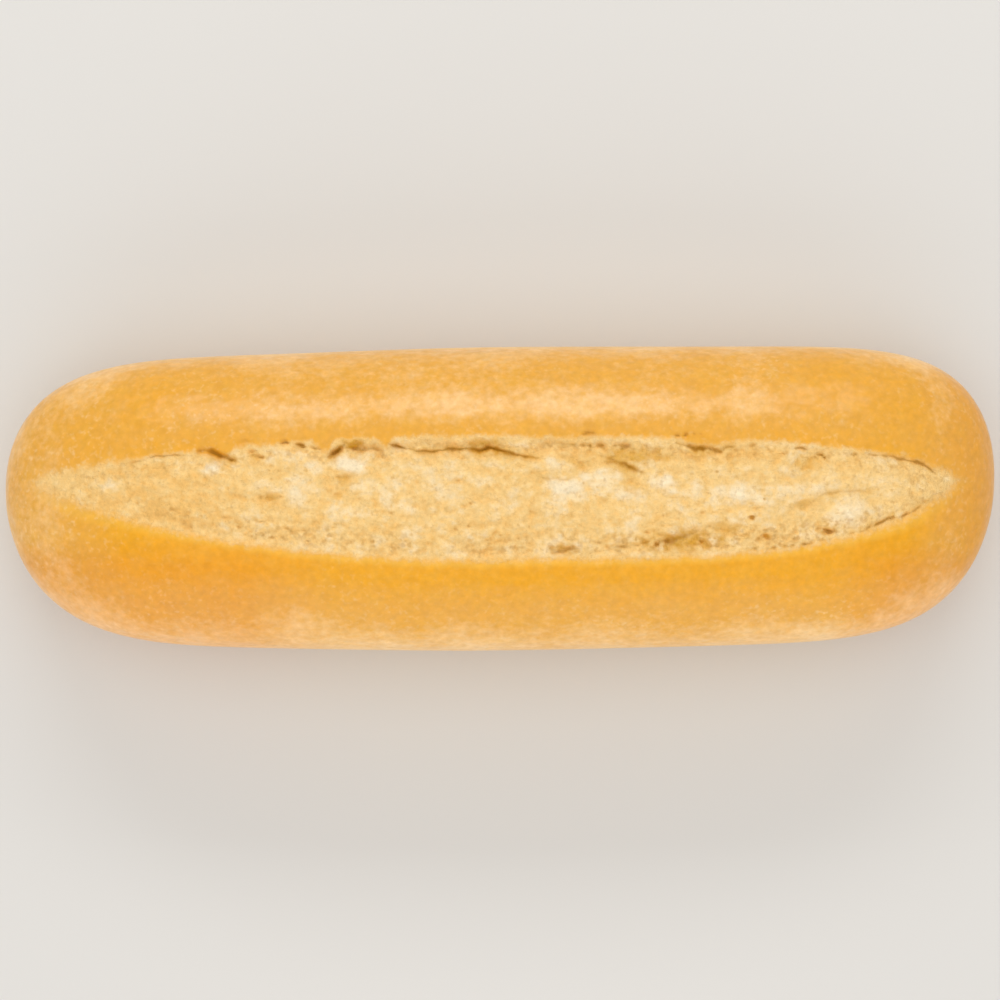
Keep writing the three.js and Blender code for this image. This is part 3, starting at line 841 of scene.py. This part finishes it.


# Baked wheat dough. The crust is a thin satin skin, gold to amber with pale flour specks; its browning
# carries a painted highlight band and painted light and shade at the noses.
# The torn crumb is matt, cream and finely porous, with warm and floury patches, painted shade in its low
# parts, pores, hollows and cracks, and painted highlight where it stands out.
def bakedWheatDough():
    material, tree = newMaterial("bakedWheatDough")
    tints = {name: hexColour(text) for name, text in bread["tints"].items()}
    place = addNode(tree, "TexCoord", output="Object")
    reading = {name: addNode(tree, "Attribute", output="Fac", attribute_name=name) for name in markNames}
    reading["along"] = addNode(tree, "SeparateXYZ", (place,), "X")
    reading["across"] = addNode(tree, "SeparateXYZ", (place,), "Y")
    reading["fromMiddle"] = addNode(tree, "Math", (reading["along"],), operation="ABSOLUTE")

    pattern = {}
    for name, (size, detail, roughness, span, gives) in bread["patterns"].items():
        cells = addNode(tree, "TexNoise", (place, 1 / (size * mm), detail, roughness))
        pattern[name] = addNode(tree, "MapRange", (cells, *span, *gives))

    # browning, how far the crumb stands out, distance from the crust's edge, the gap's ragged outline
    browning = addNode(tree, "Math", (reading["bakeAndLight"], pattern["mottle"]), operation="ADD")
    reading["browning"] = addNode(tree, "Math", (browning, pattern["fineMottle"]), operation="ADD")
    patchy = addNode(tree, "Math", (pattern["crumbPatch"], pattern["crumbFleck"]), operation="ADD")
    reading["standing"] = addNode(tree, "Math", (reading["raised"], patchy), operation="ADD")
    fromEdge = addNode(tree, "Math", (reading["crumb"], bread["fringeAt"]), operation="SUBTRACT")
    reading["fromEdge"] = addNode(tree, "Math", (fromEdge,), operation="ABSOLUTE")
    ragged = addNode(tree, "Math", (pattern["teeth"], 1), operation="ADD")
    reading["raggedGap"] = addNode(tree, "Math", (reading["gap"], ragged), operation="MULTIPLY")

    share = {}
    for name, (source, span, gives) in bread["shares"].items():
        share[name] = addNode(tree, "MapRange", (reading[source], *span, *gives))

    # crust: browned dough with yellower blotches, specks that gather in patches, fringe and blush
    specks = pattern["specks"]
    for factor in (pattern["speckPatch"], share["specksOnBrown"], share["specksAtEnds"]):
        specks = addNode(tree, "Math", (specks, factor), operation="MULTIPLY")
    fringe = addNode(tree, "Math", (share["fringe"], share["fringeSide"]), operation="MULTIPLY")
    blush = addNode(tree, "Math", (share["blushLeft"], share["blushRight"]), operation="MAXIMUM")
    blush = addNode(tree, "Math", (blush, share["blushSide"]), operation="MULTIPLY")
    blush = addNode(tree, "Math", (blush, share["blushNose"]), operation="MAXIMUM")
    crust = tints["pale"]
    for amount, tint, kind in (
            (share["gold"], tints["gold"], "MIX"),
            (share["amber"], tints["amber"], "MIX"),
            (pattern["straw"], tints["straw"], "MIX"),
            (specks, tints["speck"], "MIX"),
            (fringe, tints["fringe"], "MIX"),
            (blush, tints["blush"], "MULTIPLY"),
            (1, pattern["crustTone"], "MULTIPLY")):
        crust = addNode(tree, "Mix", (amount, crust, tint), data_type="RGBA", blend_type=kind)

    # crumb: cream, toasted and with painted shade where it lies low, floury and with painted highlight
    # where it stands out, with painted shade in its pores
    shadedPores = addNode(tree, "Math", (pattern["shadedPores"], share["pit"]), operation="MAXIMUM")
    grit = addNode(tree, "Math", (pattern["grit"], reading["torn"]), operation="MULTIPLY")
    shadedPores = addNode(tree, "Math", (shadedPores, grit), operation="MAXIMUM")
    crumbColour = tints["crumb"]
    for amount, tint, kind in (
            (share["toastAndShade"], tints["toastAndShade"], "MIX"),
            (share["flourAndHighlight"], tints["flourAndHighlight"], "MIX"),
            (shadedPores, tints["poreShade"], "MIX"),
            (1, pattern["crumbTone"], "MULTIPLY")):
        layers = (amount, crumbColour, tint)
        crumbColour = addNode(tree, "Mix", layers, data_type="RGBA", blend_type=kind)

    # the torn edge has fine teeth; painted shade browns the hollows and the cracks' sides and darkens
    # their ragged gaps
    bare = addNode(tree, "Math", (reading["crumb"], pattern["teeth"]), operation="ADD")
    bare = addNode(tree, "MapRange", (bare,), interpolation_type="SMOOTHSTEP")
    hollow = addNode(tree, "Math", (reading["shade"], pattern["teeth"]), operation="MULTIPLY")
    hollow = addNode(tree, "Math", (share["hollow"], hollow), operation="ADD")
    hollow = addNode(tree, "Math", (bare, hollow), operation="MULTIPLY")
    colour = crust
    for amount, tint in (
            (bare, crumbColour),
            (hollow, tints["hollow"]),
            (share["deepHollowShade"], tints["poreShade"]),
            (share["crackShade"], tints["crackShade"])):
        colour = addNode(tree, "Mix", (amount, colour, tint), data_type="RGBA")

    # crust has shallow dimples that break up its gloss, crumb a coarse grain
    crumbHeight = addNode(tree, "Math", (pattern["fineGrain"], pattern["coarseGrain"]), operation="ADD")
    height = addNode(tree, "Mix", (bare, pattern["wrinkle"], crumbHeight), data_type="FLOAT")
    bump = addNode(tree, "Bump", {"Height": height, "Distance": mm, "Strength": 1.0})
    matt = addNode(tree, "Math", (bare, share["crackShade"]), operation="MAXIMUM")
    rough = addNode(tree, "MapRange", (matt, 0, 1, *bread["roughness"]))
    surface = addNode(tree, "BsdfPrincipled", {
        "Base Color": colour, "Roughness": rough, "Normal": bump, "Specular IOR Level": bread["gloss"]})
    addNode(tree, "OutputMaterial", {"Surface": surface})
    return material


roll = makeRoll()
print("roll modelled,", len(roll.data.polygons), "faces")
roll.data.materials.append(bakedWheatDough())
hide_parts("roll")
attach(roll, "root")
print("crust and crumb coloured")

# pale floor, soft lights and the camera, in metres
studio = dict(
    floorSize=8,
    floor="#d9d6d1",
    floorRoughness=0.8,
    surround="#ffffff",
    surroundStrength=0.56,
    # softboxes that face the roll: place, width and depth, watts
    softboxes=dict(
        softboxBehind=((0, 0.84, 0.54), (0.86, 0.2), 3.7),
        overhead=((0, 0, 1.6), (2, 2), 8.3),
        fillAtLeft=((-1.1, 0, 0.5), (0.8, 0.8), 1),
        fillAtRight=((1.1, 0, 0.5), (0.8, 0.8), 0.6),
        fillInFront=((0, -1.1, 0.5), (2.4, 1), 7.6),
    ),
    lens=150,
    sensor=36,
    pixels=1000,
    pixelSize=0.21234 * mm,
    sightHeight=18 * mm,     # level of the loaf's outline
    aimBelow=1.5,            # pixels from the loaf's middle down to the picture's middle
)


def makeFloor():
    material, tree = newMaterial("paleStudioFloor")
    surface = addNode(tree, "BsdfPrincipled", {
        "Base Color": hexColour(studio["floor"]), "Roughness": studio["floorRoughness"]})
    addNode(tree, "OutputMaterial", {"Surface": surface})
    bm = bmesh.new()
    bmesh.ops.create_grid(bm, x_segments=2, y_segments=2, size=studio["floorSize"] / 2)
    mesh = bpy.data.meshes.new("studioFloor")
    bm.to_mesh(mesh)
    bm.free()
    mesh.materials.append(material)
    floor = bpy.data.objects.new("studioFloor", mesh)
    bpy.context.scene.collection.objects.link(floor)


def makeLights():
    for name, (place, (width, depth), power) in studio["softboxes"].items():
        light = bpy.data.lights.new(name, "AREA")
        light.shape = "RECTANGLE"
        light.size = width
        light.size_y = depth
        light.energy = power
        lamp = bpy.data.objects.new(name, light)
        lamp.location = place
        lamp.rotation_euler = (-Vector(place)).to_track_quat("-Z", "Y").to_euler()
        bpy.context.scene.collection.objects.link(lamp)
    world = bpy.data.worlds.new("paleSurround")
    world.use_nodes = True
    background = world.node_tree.nodes["Background"]
    background.inputs["Color"].default_value = hexColour(studio["surround"])
    background.inputs["Strength"].default_value = studio["surroundStrength"]
    bpy.context.scene.world = world


def makeCamera():
    camera = bpy.data.cameras.new("overheadCamera")
    camera.lens = studio["lens"]
    camera.sensor_width = studio["sensor"]
    distance = studio["lens"] / studio["sensor"] * studio["pixels"] * studio["pixelSize"]
    view = bpy.data.objects.new("overheadCamera", camera)
    view.location = (0, -studio["aimBelow"] * studio["pixelSize"], studio["sightHeight"] + distance)
    bpy.context.scene.collection.objects.link(view)
    bpy.context.scene.camera = view


makeFloor()
makeLights()
makeCamera()
bpy.context.scene.view_settings.view_transform = "Standard"
print("floor, lights and camera placed")
